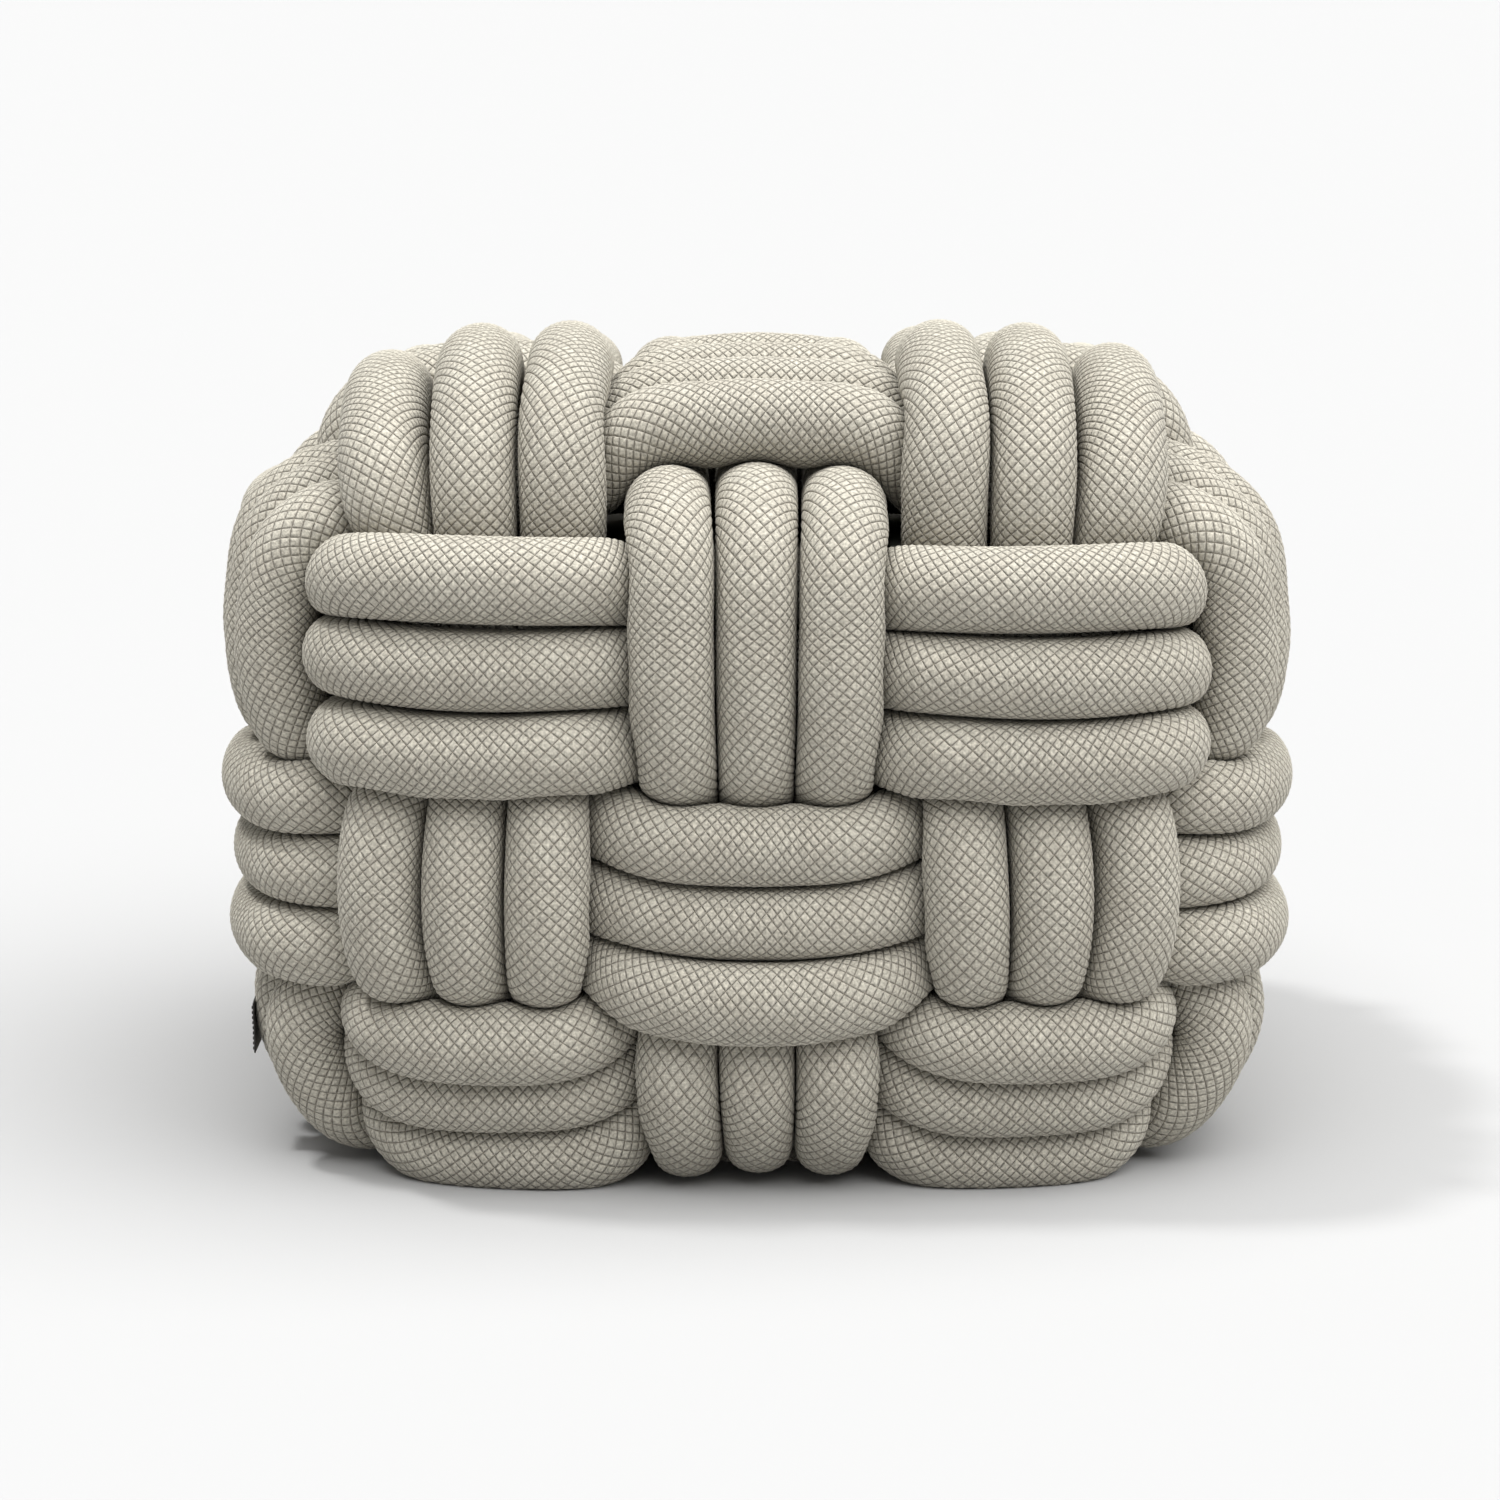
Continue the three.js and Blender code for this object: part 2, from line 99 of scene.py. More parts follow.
# The raised diamonds of the knit cover.
quilt = {
    "across": 22,             # diamonds round a tube
    "diamond": 0.0051,        # length of one along the middle line
    "puff": 0.00045,          # height of a diamond's middle over its grooves
    "twist": (0.75, 0.30),    # slow turns of the cover about its tube, in radians
    "twistWaves": (4, 7),     # how often each comes round
}

familyAxis = {"row": 2, "column": 0, "cross": 1}
bandNames = {
    "row": ("base", "mid", "top"),
    "column": ("left", "mid", "right"),
    "cross": ("front", "mid", "back"),
}


def formValue(points):
    up = np.clip((points[..., 2] - weave["waist"]) / (weave["topMid"] - weave["waist"]), 0, 1)
    width = weave["halfWidth"] * (1 - weave["narrowing"] * up)
    plan = (np.abs(points[..., 0] / width) ** weave["planPower"]
            + np.abs(points[..., 1] / width) ** weave["planPower"])
    above = points[..., 2] > weave["waist"]
    power = np.where(above, weave["upperPower"], weave["lowerPower"])
    rise = np.where(above, weave["topMid"] - weave["waist"], weave["waist"] - weave["bottomMid"])
    height = np.abs((points[..., 2] - weave["waist"]) / rise)
    return plan ** (power / weave["planPower"]) + height ** power


def formPoints(centres, headings):
    near = np.zeros(len(headings))
    far = np.full(len(headings), 0.6)
    for step in range(40):
        middle = (near + far) / 2
        inside = formValue(centres + headings * middle[:, None]) < 1
        near = np.where(inside, middle, near)
        far = np.where(inside, far, middle)
    return centres + headings * near[:, None]


def formNormals(points):
    step = 0.0005
    normals = np.zeros_like(points)
    for axis in range(3):
        shift = np.zeros(3)
        shift[axis] = step
        normals[:, axis] = formValue(points + shift) - formValue(points - shift)
    return normals / np.linalg.norm(normals, axis=1)[:, None]


def taper(height):
    rise = (height - weave["bottomMid"]) / (weave["taperTop"] - weave["bottomMid"])
    missing = 1 - np.clip(rise, 0, 1)
    return 1 - weave["baseTaper"] * missing ** 2


# tubes of a band lie wider apart towards the top
def spread(height):
    low, high = weave["spread"]
    return low + (high - low) * np.clip(height / weave["topMid"], 0, 1)


def evenSpacing(points, count):
    closed = np.vstack([points, points[:1]])
    steps = np.linalg.norm(np.diff(closed, axis=0), axis=1)
    walked = np.concatenate([[0], np.cumsum(steps)])
    wanted = np.arange(count) / count * walked[-1]
    return np.stack([np.interp(wanted, walked, closed[:, k]) for k in range(3)], axis=1)


def crossingLevels(axis, height):
    if axis == 2:
        return [weave["rowHeights"][band][1] for band in bandNames["row"]]
    return [index * weave["bandPitch"] * float(taper(height)) for index in (-1, 0, 1)]


def onFace(point, axis):
    centre, reach = 0, weave["halfWidth"]
    if axis == 2:
        centre = weave["waist"]
        reach = weave["topMid"] - centre if point[2] > centre else centre - weave["bottomMid"]
    return abs(point[axis] - centre) > weave["faceShare"] * reach


# +1 where the tube runs over its neighbours, -1 where it dives under them
def liftAlong(family, own, points):
    winner = {0: "cross", 1: "row", 2: "column"}
    flat = [axis for axis in (0, 1, 2) if axis != familyAxis[family]]
    marks = []
    count = len(points)
    for i in range(count):
        a, b = points[i], points[(i + 1) % count]
        for along, facing in (flat, flat[::-1]):
            if not onFace(a, facing):
                continue
            for k, level in enumerate(crossingLevels(along, a[2])):
                if a[along] == b[along] or (a[along] - level) * (b[along] - level) > 0:
                    continue
                share = (level - a[along]) / (b[along] - a[along])
                even = (abs(own) + abs(k - 1)) % 2 == 0
                marks.append((i + share, 1 if even == (winner[facing] == family) else -1))
    marks.sort()
    lift = np.zeros(count)
    for m, (start, side) in enumerate(marks):
        span = (marks[(m + 1) % len(marks)][0] - start) % count
        for i in range(int(math.ceil(start)), int(math.ceil(start + span))):
            swing = math.cos(math.pi * (i - start) / span) * weave["liftSwing"]
            lift[i % count] = side * math.sin(max(-1, min(1, swing)) * math.pi / 2)
    return lift


def drawTube(family, band, tube):
    axis = familyAxis[family]
    own = bandNames[family].index(band) - 1
    turns = np.linspace(0, 2 * math.pi, 1441)[:-1]
    headings = np.zeros((len(turns), 3))
    headings[:, (axis + 1) % 3] = np.cos(turns)
    headings[:, (axis + 2) % 3] = np.sin(turns)
    centres = np.tile([0.0, 0.0, weave["waist"]], (len(turns), 1))
    if family == "row":
        outline = formPoints(centres, headings) * [1, 1, 0]
        outline *= weave["rowWidths"][band][tube]
        outline[:, 2] = weave["rowHeights"][band][tube]
    else:
        centres[:, axis] = own * weave["bandPitch"]
        outline = formPoints(centres, headings)
        for turn in range(2):
            height = outline[:, 2]
            up = np.clip((height - weave["waist"]) / (weave["topMid"] - weave["waist"]), 0, 1)
            centres[:, axis] = (own * weave["bandPitch"] * taper(height)
                                + (tube - 1) * weave["tubePitch"] * spread(height)
                                + (weave["lean"][band] * up if family == "column" else 0))
            outline = formPoints(centres, headings)
    points = evenSpacing(outline, stuffing["nodes"])
    lift = liftAlong(family, own, points)
    steady = points.copy()
    steady[:, 2] = np.clip(points[:, 2], weave["bottomMid"] + 0.016, weave["topMid"] - 0.004)
    normals = formNormals(steady if family == "row" else points)
    if family != "row":
        normals[:, axis] *= 0.3
        normals /= np.linalg.norm(normals, axis=1)[:, None]
    reach = stuffing["contact"]
    full = np.where(lift > 0, reach["over"], reach["under"])
    radius = (full + (reach["neck"] - full) * (1 - np.abs(lift))) * spread(points[:, 2])
    home = points + normals * (lift * weave["halfLift"])[:, None]
    above = np.clip((points[:, 2] - weave["waist"]) / (weave["topMid"] - weave["waist"]), 0, 1) ** 4
    inner = np.clip(1 - (points[:, :2] / weave["halfWidth"]) ** 2, 0, 1).prod(1)
    home[:, 2] -= weave["topDish"] * above * inner ** 2
    loose = np.maximum(lift, 0) ** 1.5
    if family == "row":
        sag = weave["rowSag"][band] * np.abs(normals[:, 1])     # front and back only
        home[:, 2] += ((tube - 1) * weave["rowFan"] - sag) * loose
        home[:, 2] += weave["sideRise"][band] * np.abs(normals[:, 0])
        home[:, 2] -= weave["rowTilt"][band][tube] * points[:, 0] / weave["halfWidth"]
    else:
        front = np.clip(0.5 - points[:, 1] / 0.2, 0, 1)
        crown = weave["crown"][family] + (tube - 1) * weave["crownStep"][family]
        tuck = weave["tuck"][family] * np.maximum(-lift, 0)
        home[:, 2] += above * ((crown * loose - tuck) * front - weave["backDrop"] * (1 - front))
        level = np.exp(-((points[:, 2] - 0.15) / 0.06) ** 2)
        home[:, axis] += own * weave["sideBulge"] * loose * level
    name = f"{family}_{band}_tube_{tube + 1}"
    start = sum(ord(letter) for letter in name)
    way = np.arange(len(points)) / len(points) * 2 * math.pi
    for k, waves in enumerate(weave["wobbleWaves"]):
        home[:, k] += weave["wobble"] * np.sin(waves * way + start * (k + 1))
    return {
        "name": name,
        "home": home,
        "outward": normals,
        "radius": radius,
        "lift": lift,
    }


def nearPairs(places, owners, reach):
    found = []
    for i in range(0, len(places), 256):
        block = places[i:i + 256]
        apart = np.linalg.norm(block[:, None] - places[None], axis=2)
        a, b = np.nonzero(apart < reach)
        a = a + i
        keep = (a < b) & (owners[a] != owners[b])
        found.append(np.stack([a[keep], b[keep]]))
    return np.concatenate(found, axis=1)


# Springs home, bends smoothly and pushes its neighbours off, over and over.
def settle(tubes):
    count = stuffing["nodes"]
    home = np.concatenate([tube["home"] for tube in tubes])
    radius = np.concatenate([tube["radius"] for tube in tubes])
    owners = np.repeat(np.arange(len(tubes)), count)
    base = owners * count
    index = np.arange(len(home)) - base
    after = base + (index + 1) % count
    before = base + (index - 1) % count
    places = home.copy()
    for turn in range(stuffing["rounds"]):
        if turn % 12 == 0:
            a, b = nearPairs(places, owners, 0.052)
        places += stuffing["stiffness"] * ((places[after] + places[before]) / 2 - places)
        places += stuffing["homePull"] * (home - places)
        gap = places[a] - places[b]
        apart = np.linalg.norm(gap, axis=1)
        bite = np.maximum(0, radius[a] + radius[b] - apart)
        push = gap / apart[:, None] * (stuffing["push"] * bite * 0.5)[:, None]
        for axis in range(3):
            places[:, axis] += np.bincount(a, push[:, axis], len(places)) * 0.5
            places[:, axis] -= np.bincount(b, push[:, axis], len(places)) * 0.5
        places[:, 2] = np.maximum(places[:, 2], radius * stuffing["floorShare"])
    for t, tube in enumerate(tubes):
        tube["path"] = places[t * count:(t + 1) * count]


def smoothRound(values, sigma, axis):
    count = values.shape[axis]
    waves = np.fft.rfftfreq(count)
    fade = np.exp(-2 * (math.pi * waves * sigma) ** 2)
    shape = [1] * values.ndim
    shape[axis] = len(fade)
    return np.fft.irfft(np.fft.rfft(values, axis=axis) * fade.reshape(shape), count, axis=axis)


# Finer path of a settled tube, two samples to each diamond.
def refinePath(tube):
    path = smoothRound(tube["path"], 1.2, 0)
    length = np.linalg.norm(np.diff(np.vstack([path, path[:1]]), axis=0), axis=1).sum()
    diamonds = int(round(length / quilt["diamond"]))
    count = len(path)
    spectrum = np.fft.rfft(path, axis=0)
    fine = np.fft.irfft(spectrum, count * 8, axis=0) * 8
    tube["line"] = evenSpacing(fine, 2 * diamonds)
    along = np.roll(tube["line"], -1, 0) - np.roll(tube["line"], 1, 0)
    along /= np.linalg.norm(along, axis=1)[:, None]
    grid = np.arange(2 * diamonds) / (2 * diamonds) * count
    outward = np.stack([np.interp(grid, np.arange(count + 1), np.append(tube["outward"][:, k], tube["outward"][0, k]))
                        for k in range(3)], axis=1)
    outward = smoothRound(outward, 3, 0)
    outward -= along * (outward * along).sum(1)[:, None]
    outward /= np.linalg.norm(outward, axis=1)[:, None]
    side = np.cross(along, outward)
    round_ = np.arange(2 * diamonds) / (2 * diamonds) * 2 * math.pi
    start = sum(ord(letter) for letter in tube["name"])
    twist = sum(size * np.sin(waves * round_ + start * (waves + 1))
                for size, waves in zip(quilt["twist"], quilt["twistWaves"]))[:, None]
    tube["up"] = outward * np.cos(twist) + side * np.sin(twist)
    tube["side"] = side * np.cos(twist) - outward * np.sin(twist)


# How far the cover reaches from the middle line, all round and all along.
def squeeze(tubes):
    sides = 2 * quilt["across"]
    turns = np.arange(sides) / sides * 2 * math.pi
    free = stuffing["radius"]
    everyPoint = np.concatenate([tube["line"][::2] for tube in tubes])
    everyOwner = np.concatenate([np.full(len(tube["line"][::2]), t) for t, tube in enumerate(tubes)])
    for t, tube in enumerate(tubes):
        others = everyPoint[everyOwner != t]
        line = tube["line"]
        rays = (tube["up"][:, None] * np.cos(turns)[None, :, None]
                + tube["side"][:, None] * np.sin(turns)[None, :, None])
        limit = np.full((len(line), sides), 1.0)
        for i in range(len(line)):
            toward = others - line[i]
            squared = (toward ** 2).sum(1)
            near = squared < (2.6 * free) ** 2
            toward, squared = toward[near], squared[near]
            facing = toward @ rays[i].T
            reach = np.where(facing > 1e-5, squared[:, None] / (2 * np.maximum(facing, 1e-5)), 1.0)
            limit[i] = reach.min(0) if len(reach) else 1.0
        down = -rays[:, :, 2]
        floor = np.where(down > 0.02, line[:, 2][:, None] / np.maximum(down, 0.02), 1.0)
        limit = np.minimum(limit, 1.0)
        power = stuffing["crease"]
        swollen = np.full(len(line), free)
        for turn in range(2):
            reach = (swollen[:, None] ** -power + limit ** -power) ** (-1 / power)
            area = (reach ** 2).mean(1)
            swell = np.clip(np.sqrt(free ** 2 / area), 1, stuffing["swell"])
            swollen = free * smoothRound(swell, 4, 0)
        reach = (swollen[:, None] ** -power + limit ** -power) ** (-1 / power)
        reach = smoothRound(smoothRound(reach, 1.6, 0), 0.9, 1)
        reach = np.minimum(reach, limit * 0.995)
        tube["reach"] = np.minimum(reach, floor)
        tube["rays"] = rays


def tubeMesh(tube):
    line, reach, rays = tube["line"], tube["reach"], tube["rays"]
    rings, sides = reach.shape
    i, k = np.meshgrid(np.arange(rings), np.arange(sides), indexing="ij")
    middles = (i + k) % 2 == 1
    height = reach + np.where(middles, quilt["puff"], 0) - quilt["puff"] * 0.6
    points = line[:, None] + rays * height[:, :, None]
    points[:, :, 2] = np.maximum(points[:, :, 2], 0)
    a = i * sides + k
    b = i * sides + (k + 1) % sides
    c = (i + 1) % rings * sides + k
    d = (i + 1) % rings * sides + (k + 1) % sides
    corners = {"a": (i, k), "b": (i, k + 1), "c": (i + 1, k), "d": (i + 1, k + 1)}
    uv = {name: np.stack([kk / 2, ii / 2], axis=-1) for name, (ii, kk) in corners.items()}
    # each square is cut along its groove, which joins two corners that aren't middles
    first = np.where(middles[..., None], np.stack([a, b, c], -1), np.stack([a, b, d], -1))
    second = np.where(middles[..., None], np.stack([b, d, c], -1), np.stack([a, d, c], -1))
    pick = middles[..., None, None]
    uvFirst = np.where(pick, np.stack([uv["a"], uv["b"], uv["c"]], -2), np.stack([uv["a"], uv["b"], uv["d"]], -2))
    uvSecond = np.where(pick, np.stack([uv["b"], uv["d"], uv["c"]], -2), np.stack([uv["a"], uv["d"], uv["c"]], -2))
    faces = np.concatenate([first.reshape(-1, 3), second.reshape(-1, 3)])
    coords = np.concatenate([uvFirst.reshape(-1, 2), uvSecond.reshape(-1, 2)])
    mesh = bpy.data.meshes.new(tube["name"])
    mesh.vertices.add(rings * sides)
    mesh.vertices.foreach_set("co", points.reshape(-1))
    mesh.loops.add(faces.size)
    mesh.loops.foreach_set("vertex_index", faces.reshape(-1).astype(np.int32))
    mesh.polygons.add(len(faces))
    mesh.polygons.foreach_set("loop_start", np.arange(0, faces.size, 3, dtype=np.int32))
    mesh.polygons.foreach_set("use_smooth", np.ones(len(faces), bool))
    mesh.uv_layers.new(name="knit").data.foreach_set("uv", coords.reshape(-1))
    mesh.update()
    mesh.validate()
    return mesh


def hexColour(code):
    parts = [int(code[k:k + 2], 16) / 255 for k in (1, 3, 5)]
    linear = [p / 12.92 if p <= 0.04045 else ((p + 0.055) / 1.055) ** 2.4 for p in parts]
    return (*linear, 1)


def addNode(tree, kind, settings=None, inputs=None):
    node = tree.nodes.new(kind)
    for name, value in (settings or {}).items():
        setattr(node, name, value)
    for name, value in (inputs or {}).items():
        if isinstance(value, bpy.types.Node):
            value = value.outputs[0]
        if isinstance(value, bpy.types.NodeSocket):
            tree.links.new(value, node.inputs[name])
        else:
            node.inputs[name].default_value = value
    return node


def newMaterial(name):
    material = bpy.data.materials.new(name)
    material.use_nodes = True
    shader = material.node_tree.nodes["Principled BSDF"]
    return material, material.node_tree, shader


# Double-knit polyester jersey, quilted in diamonds: soft raised cells between thin
# sunk grooves, a fine grain of stitches and the dull face of brushed yarn.
# The stitches are about 0.9 mm, twice the real gauge, so that they show.
def knitMaterial():
    look = {
        "yarn": "#BEBAAD",
        "yarnDark": "#ABA598",
        # colour of the grooves: partly the sewn quilting line, partly painted shade in the sunk grooves
        "grooveThreadAndShade": "#786F62",
        "grooveShadeWidth": 0.11,      # share of half a diamond
        "puffHeight": 0.0012,
        "stitchHeight": 0.00030,
        "stitches": 7.0,          # to a diamond
    }
    material, tree, shader = newMaterial("quiltedKnitJersey")
    uv = addNode(tree, "ShaderNodeUVMap", {"uv_map": "knit"})
    split = addNode(tree, "ShaderNodeSeparateXYZ", None, {0: uv})
    u, v = split.outputs[0], split.outputs[1]
    # distance from each of the two sets of grooves, 0 in the groove and 1 midway
    slopes = []
    for operation in ("ADD", "SUBTRACT"):
        line = addNode(tree, "ShaderNodeMath", {"operation": operation}, {0: u, 1: v})
        saw = addNode(tree, "ShaderNodeMath", {"operation": "PINGPONG"}, {0: line, 1: 0.5})
        slopes.append(addNode(tree, "ShaderNodeMath", {"operation": "MULTIPLY"}, {0: saw, 1: 2.0}))
    nearest = addNode(tree, "ShaderNodeMath", {"operation": "SMOOTH_MIN"}, {0: slopes[0], 1: slopes[1], 2: 0.1})
    # mask of the darker grooves: painted shade in the sunk grooves, together with the sewn line
    depth = addNode(tree, "ShaderNodeMapRange", {"interpolation_type": "SMOOTHSTEP"},
                    {"Value": nearest, "From Min": 0.0, "From Max": look["grooveShadeWidth"]})
    rounds = []
    for slope in slopes:
        away = addNode(tree, "ShaderNodeMath", {"operation": "SUBTRACT"}, {0: 1.0, 1: slope})
        fall = addNode(tree, "ShaderNodeMath", {"operation": "POWER"}, {0: away, 1: 5.0})
        rounds.append(addNode(tree, "ShaderNodeMath", {"operation": "SUBTRACT"}, {0: 1.0, 1: fall}))
    pillow = addNode(tree, "ShaderNodeMath", {"operation": "MULTIPLY"}, {0: rounds[0], 1: rounds[1]})
    # V-shaped stitches in wales along the tube
    wales = addNode(tree, "ShaderNodeMath", {"operation": "MULTIPLY"}, {0: u, 1: look["stitches"]})
    bend = addNode(tree, "ShaderNodeMath", {"operation": "PINGPONG"}, {0: wales, 1: 0.5})
    course = addNode(tree, "ShaderNodeMath", {"operation": "MULTIPLY_ADD"}, {0: v, 1: look["stitches"], 2: bend})
    loop = addNode(tree, "ShaderNodeMath", {"operation": "PINGPONG"}, {0: course, 1: 0.5})
    stitch = addNode(tree, "ShaderNodeMath", {"operation": "MULTIPLY"}, {0: loop, 1: 2.0})
    place = addNode(tree, "ShaderNodeTexCoord")
    blotch = addNode(tree, "ShaderNodeTexNoise", None,
                     {"Vector": place.outputs["Object"], "Scale": 60.0, "Detail": 3.0})
    speck = addNode(tree, "ShaderNodeTexNoise", None,
                    {"Vector": place.outputs["Object"], "Scale": 750.0, "Detail": 2.0})
    yarn = addNode(tree, "ShaderNodeMix", {"data_type": "RGBA"},
                   {0: blotch.outputs[0], 6: hexColour(look["yarnDark"]), 7: hexColour(look["yarn"])})
    fleck = addNode(tree, "ShaderNodeMapRange", None,
                    {"Value": speck, "From Min": 0.3, "From Max": 0.7, "To Min": 0.64, "To Max": 1.24})
    # the stitches coloured darker in their low parts: painted shade of their relief
    stitchShade = addNode(tree, "ShaderNodeMapRange", None,
                     {"Value": stitch, "To Min": 0.88, "To Max": 1.05})
    # random flecks of tone times the painted stitch shade; this also drives the stitch bump
    grain = addNode(tree, "ShaderNodeMath", {"operation": "MULTIPLY"}, {0: fleck, 1: stitchShade})
    tinted = addNode(tree, "ShaderNodeMix", {"data_type": "RGBA", "blend_type": "MULTIPLY"},
                     {0: 1.0, 6: yarn.outputs[2], 7: grain})
    # grooves coloured darker: painted shade in the sunk grooves, together with the sewn line
    grooveShaded = addNode(tree, "ShaderNodeMix", {"data_type": "RGBA"},
                      {0: depth, 6: hexColour(look["grooveThreadAndShade"]), 7: tinted.outputs[2]})
    stitchBump = addNode(tree, "ShaderNodeBump", None,
                         {"Strength": 0.8, "Distance": look["stitchHeight"], "Height": grain})
    puffBump = addNode(tree, "ShaderNodeBump", None,
                       {"Strength": 1.0, "Distance": look["puffHeight"], "Height": pillow,
                        "Normal": stitchBump})
    tree.links.new(grooveShaded.outputs[2], shader.inputs["Base Color"])
    tree.links.new(puffBump.outputs[0], shader.inputs["Normal"])
    shader.inputs["Roughness"].default_value = 0.9
    shader.inputs["Specular IOR Level"].default_value = 0.2
    shader.inputs["Sheen Weight"].default_value = 0.08
    shader.inputs["Sheen Roughness"].default_value = 0.5
    return material


# Open-cell polyurethane foam: matt, pale, full of pinholes.
def foamMaterial():
    material, tree, shader = newMaterial("openCellFoam")
    place = addNode(tree, "ShaderNodeTexCoord")
    cells = addNode(tree, "ShaderNodeTexVoronoi", None, {"Vector": place.outputs["Object"], "Scale": 600.0})
    colour = addNode(tree, "ShaderNodeMix", {"data_type": "RGBA"},
                     {0: cells.outputs[0], 6: hexColour("#C9C2A8"), 7: hexColour("#EEE8D6")})
    bump = addNode(tree, "ShaderNodeBump", None, {"Strength": 0.6, "Distance": 0.0004, "Height": cells.outputs[0]})
    tree.links.new(colour.outputs[2], shader.inputs["Base Color"])
    tree.links.new(bump.outputs[0], shader.inputs["Normal"])
    shader.inputs["Roughness"].default_value = 0.95
    return material


# Plain-weave cotton lining: flat, slightly slubby threads.
def liningMaterial():
    material, tree, shader = newMaterial("cottonLining")
    place = addNode(tree, "ShaderNodeTexCoord")
    threads = addNode(tree, "ShaderNodeTexWave", {"bands_direction": "DIAGONAL"},
                      {"Vector": place.outputs["Object"], "Scale": 500.0, "Distortion": 1.5})
    colour = addNode(tree, "ShaderNodeMix", {"data_type": "RGBA"},
                     {0: threads.outputs[1], 6: hexColour("#A9A59A"), 7: hexColour("#D2CFC5")})
    bump = addNode(tree, "ShaderNodeBump", None, {"Strength": 0.4, "Distance": 0.0002, "Height": threads.outputs[1]})
    tree.links.new(colour.outputs[2], shader.inputs["Base Color"])
    tree.links.new(bump.outputs[0], shader.inputs["Normal"])
    shader.inputs["Roughness"].default_value = 0.9
    return material


tubes = []
for family in ("row", "column", "cross"):
    for band in bandNames[family]:
        for tube in range(3):
            tubes.append(drawTube(family, band, tube))
print("tubes drawn")
settle(tubes)
print("tubes settled")
for tube in tubes:
    refinePath(tube)
squeeze(tubes)
print("covers squeezed")

knit = knitMaterial()
for tube in tubes:
    mesh = tubeMesh(tube)
    mesh.materials.append(knit)
    piece = bpy.data.objects.new("soft_" + tube["name"], mesh)
    bpy.context.scene.collection.objects.link(piece)
    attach(piece, "root")
    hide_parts(tube["name"])
print("tubes built")

# A woven label laid flat on the left side, low at the front, and sewn down. It bears nothing.
label = {
    "host": "cross_front_tube_2",
    "centreHeight": 0.064,
    "height": 0.027,
    "depth": 0.030,
    "thickness": 0.0014,
    "hem": 0.0022,            # border folded under all round
    "cut": (0.033, 0.030),    # the tape before its edges are pressed under
    "stitches": 9,            # along each of the two sewn edges
}


# Dense charcoal satin-woven polyester: almost black, faint ribs, a slight gloss.
def labelMaterial():
    look = {"warp": "#2B2927", "weft": "#3B3835", "threads": 900.0, "ribHeight": 0.00012}
    material, tree, shader = newMaterial("wovenPolyesterLabel")
    place = addNode(tree, "ShaderNodeTexCoord")
    ribs = addNode(tree, "ShaderNodeTexWave", {"bands_direction": "Z"},
                   {"Vector": place.outputs["Object"], "Scale": look["threads"] / 5, "Distortion": 0.4})
    weft = addNode(tree, "ShaderNodeTexWave", {"bands_direction": "Y"},
                   {"Vector": place.outputs["Object"], "Scale": look["threads"] / 6, "Distortion": 0.4})
    mesh = addNode(tree, "ShaderNodeMath", {"operation": "MULTIPLY"}, {0: ribs.outputs[1], 1: weft.outputs[1]})
    colour = addNode(tree, "ShaderNodeMix", {"data_type": "RGBA"},
                     {0: mesh, 6: hexColour(look["warp"]), 7: hexColour(look["weft"])})
    bump = addNode(tree, "ShaderNodeBump", None, {"Strength": 0.7, "Distance": look["ribHeight"], "Height": mesh})
    tree.links.new(colour.outputs[2], shader.inputs["Base Color"])
    tree.links.new(bump.outputs[0], shader.inputs["Normal"])
    shader.inputs["Roughness"].default_value = 0.55
    shader.inputs["Specular IOR Level"].default_value = 0.4
    return material


def hostPoints():
    host = next(tube for tube in tubes if tube["name"] == label["host"])
    cover = (host["line"][:, None] + host["rays"] * host["reach"][:, :, None]).reshape(-1, 3)
    level = np.abs(cover[:, 2] - label["centreHeight"]) < label["height"] * 0.6
    cover = cover[level]
    return cover[cover[:, 0] < cover[:, 0].min() + 0.010]


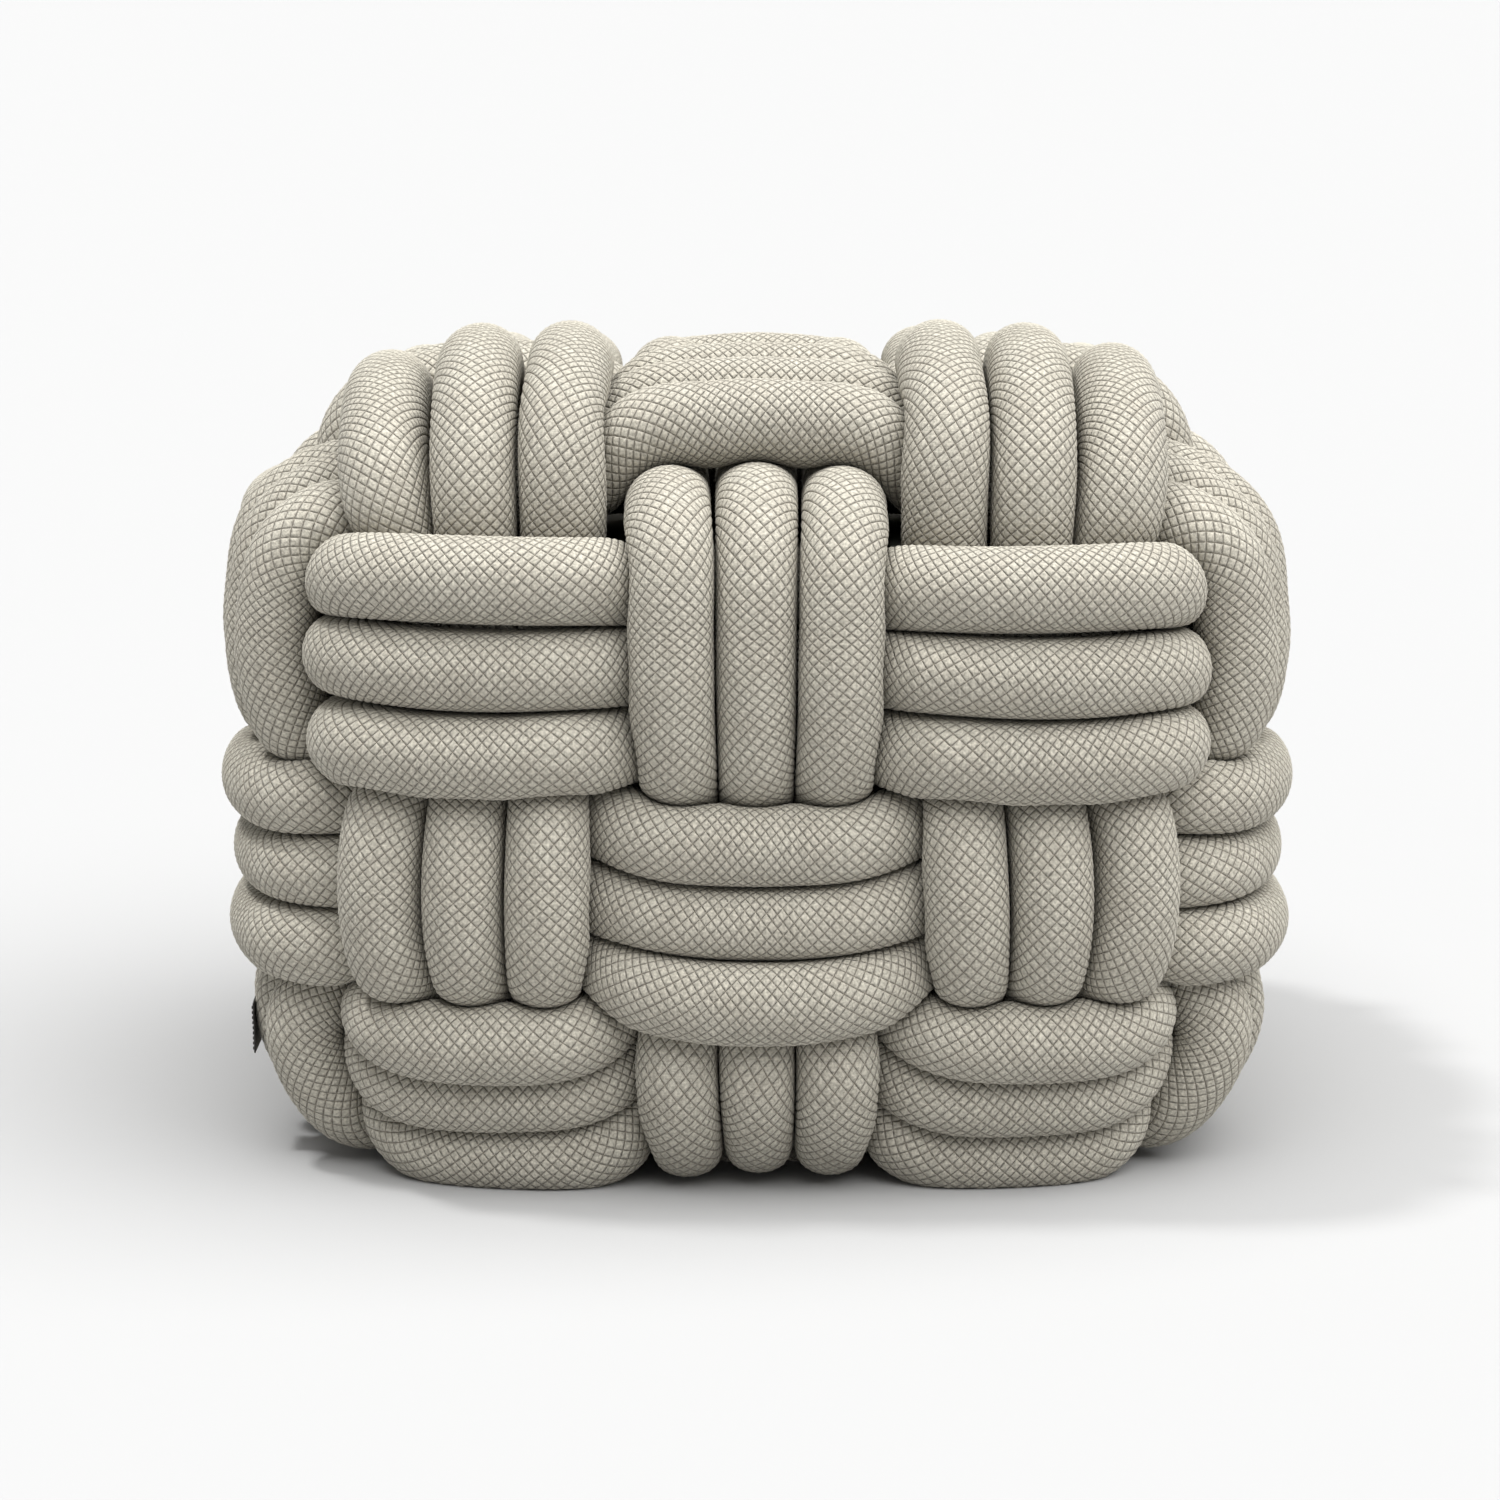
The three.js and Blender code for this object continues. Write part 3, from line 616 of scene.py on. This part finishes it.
def makeLabel():
    cover = hostPoints()
    seat = cover[cover[:, 0].argmin()]
    bpy.ops.object.select_all(action="DESELECT")
    bpy.ops.mesh.primitive_cube_add(size=1, location=(0, 0, 0))
    piece = bpy.context.object
    piece.name = "side_label"
    piece.scale = (label["thickness"], label["depth"], label["height"])
    bpy.ops.object.transform_apply(location=False, rotation=False, scale=True)
    bpy.ops.object.mode_set(mode="EDIT")
    bpy.ops.mesh.select_all(action="SELECT")
    bpy.ops.mesh.bevel(offset=label["thickness"] * 0.35, segments=3, affect="EDGES")
    bpy.ops.object.mode_set(mode="OBJECT")
    for face in piece.data.polygons:
        face.select = face.normal.x < -0.99 and face.area > 0.0003
    bpy.ops.object.mode_set(mode="EDIT")
    bpy.ops.mesh.select_mode(type="FACE")
    bpy.ops.mesh.inset(thickness=label["hem"], depth=0)
    bpy.ops.mesh.inset(thickness=0.0004, depth=-0.0003)
    bpy.ops.mesh.select_all(action="SELECT")
    bpy.ops.mesh.quads_convert_to_tris()
    bpy.ops.mesh.subdivide(number_cuts=3)
    bpy.ops.object.mode_set(mode="OBJECT")
    # one stitch, copied down both sewn edges
    bpy.ops.mesh.primitive_uv_sphere_add(segments=10, ring_count=6, radius=1, location=(0, 0, 0))
    stitch = bpy.context.object
    stitch.scale = (0.00035, 0.00035, 0.0010)
    bpy.ops.object.transform_apply(location=False, rotation=False, scale=True)
    parts = [piece]
    for side in (-1, 1):
        for k in range(label["stitches"]):
            copy = bpy.data.objects.new("stitch", stitch.data.copy())
            bpy.context.scene.collection.objects.link(copy)
            rise = (k + 0.5) / label["stitches"] - 0.5
            copy.location = (-label["thickness"] / 2, side * (label["depth"] / 2 - label["hem"] * 0.6),
                             rise * label["height"] * 0.9)
            parts.append(copy)
    bpy.data.objects.remove(stitch)
    bpy.ops.object.select_all(action="DESELECT")
    for part in parts:
        part.select_set(True)
    bpy.context.view_layer.objects.active = piece
    bpy.ops.object.join()
    # laid on the tube: pressed to its roundness, clear of it by a hair
    for vertex in piece.data.vertices:
        y, z = vertex.co.y + seat[1], vertex.co.z + label["centreHeight"]
        apart = (cover[:, 1] - y) ** 2 + (cover[:, 2] - z) ** 2
        close = cover[np.argsort(apart)[:40]]
        skin = np.average(close[:, 0]) * 0.35 + seat[0] * 0.65
        vertex.co = (vertex.co.x + skin - label["thickness"] * 0.75, y, z)
    bpy.ops.object.shade_smooth_by_angle(angle=math.radians(40))
    return piece


tag = makeLabel()
tag.data.materials.clear()
tag.data.materials.append(labelMaterial())
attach(tag, "root")
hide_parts("label_tag")
print("label sewn on")

for node, material in (("core_foam", foamMaterial()), ("core_lining", liningMaterial())):
    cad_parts[node].data.materials.clear()
    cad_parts[node].data.materials.append(material)


# Pale floor, a crisp key lamp high on the left, a broad soft lamp overhead and a
# sky that is white round the horizon and dimmer above.
studio = {
    "floor": "#ABABAB",
    "key": {"strength": 1.5, "softness": 7, "left": 21, "toward": -5},
    "overhead": {"strength": 5.3, "softness": 84, "left": -16, "toward": 13},
    "horizon": 0.93,
    "zenith": 0.30,
}


def buildStudio():
    bpy.ops.object.select_all(action="DESELECT")
    bpy.ops.mesh.primitive_plane_add(size=800, location=(0, 0, 0))
    floor = bpy.context.object
    floor.name = "studio_floor"
    material, tree, shader = newMaterial("matteFloor")
    place = addNode(tree, "ShaderNodeTexCoord")
    grain = addNode(tree, "ShaderNodeTexNoise", None, {"Vector": place.outputs["Object"], "Scale": 30.0})
    tone = addNode(tree, "ShaderNodeMix", {"data_type": "RGBA"},
                   {0: grain, 6: hexColour(studio["floor"]), 7: hexColour(studio["floor"])})
    tree.links.new(tone.outputs[2], shader.inputs["Base Color"])
    shader.inputs["Roughness"].default_value = 1.0
    shader.inputs["Specular IOR Level"].default_value = 0.0
    floor.data.materials.append(material)

    world = bpy.data.worlds.new("studio")
    bpy.context.scene.world = world
    world.use_nodes = True
    sky = world.node_tree.nodes["Background"]
    heading = addNode(world.node_tree, "ShaderNodeTexCoord")
    split = addNode(world.node_tree, "ShaderNodeSeparateXYZ", None, {0: heading.outputs["Generated"]})
    dim = addNode(world.node_tree, "ShaderNodeMapRange", {"interpolation_type": "SMOOTHSTEP"},
                  {"Value": split.outputs[2], "From Min": 0.05, "From Max": 0.35,
                   "To Min": studio["horizon"], "To Max": studio["zenith"]})
    sky.inputs[0].default_value = (1, 1, 1, 1)
    world.node_tree.links.new(dim.outputs[0], sky.inputs[1])

    for name in ("key", "overhead"):
        lamp = bpy.data.objects.new(name, bpy.data.lights.new(name, "SUN"))
        lamp.data.energy = studio[name]["strength"]
        lamp.data.angle = math.radians(studio[name]["softness"])
        left, toward = math.radians(studio[name]["left"]), math.radians(studio[name]["toward"])
        lamp.rotation_euler = Vector((-math.tan(left), -math.tan(toward), 1)).to_track_quat("Z", "Y").to_euler()
        bpy.context.scene.collection.objects.link(lamp)


# The camera looks along +Y, a little down on the cushion.
camera = {"distance": 2.5, "elevation": 10, "aim": (-0.004, 0, 0.184), "lens": 109.8}


def placeCamera():
    lift = math.radians(camera["elevation"])
    eye = bpy.data.objects.new("camera", bpy.data.cameras.new("camera"))
    aim = Vector(camera["aim"])
    back = Vector((0, -math.cos(lift), math.sin(lift)))
    eye.location = aim + back * camera["distance"]
    eye.rotation_euler = back.to_track_quat("Z", "Y").to_euler()
    eye.data.lens = camera["lens"]
    eye.data.clip_end = 1000
    bpy.context.scene.collection.objects.link(eye)
    bpy.context.scene.camera = eye


buildStudio()
placeCamera()
bpy.context.scene.view_settings.view_transform = "Standard"
print("studio ready")
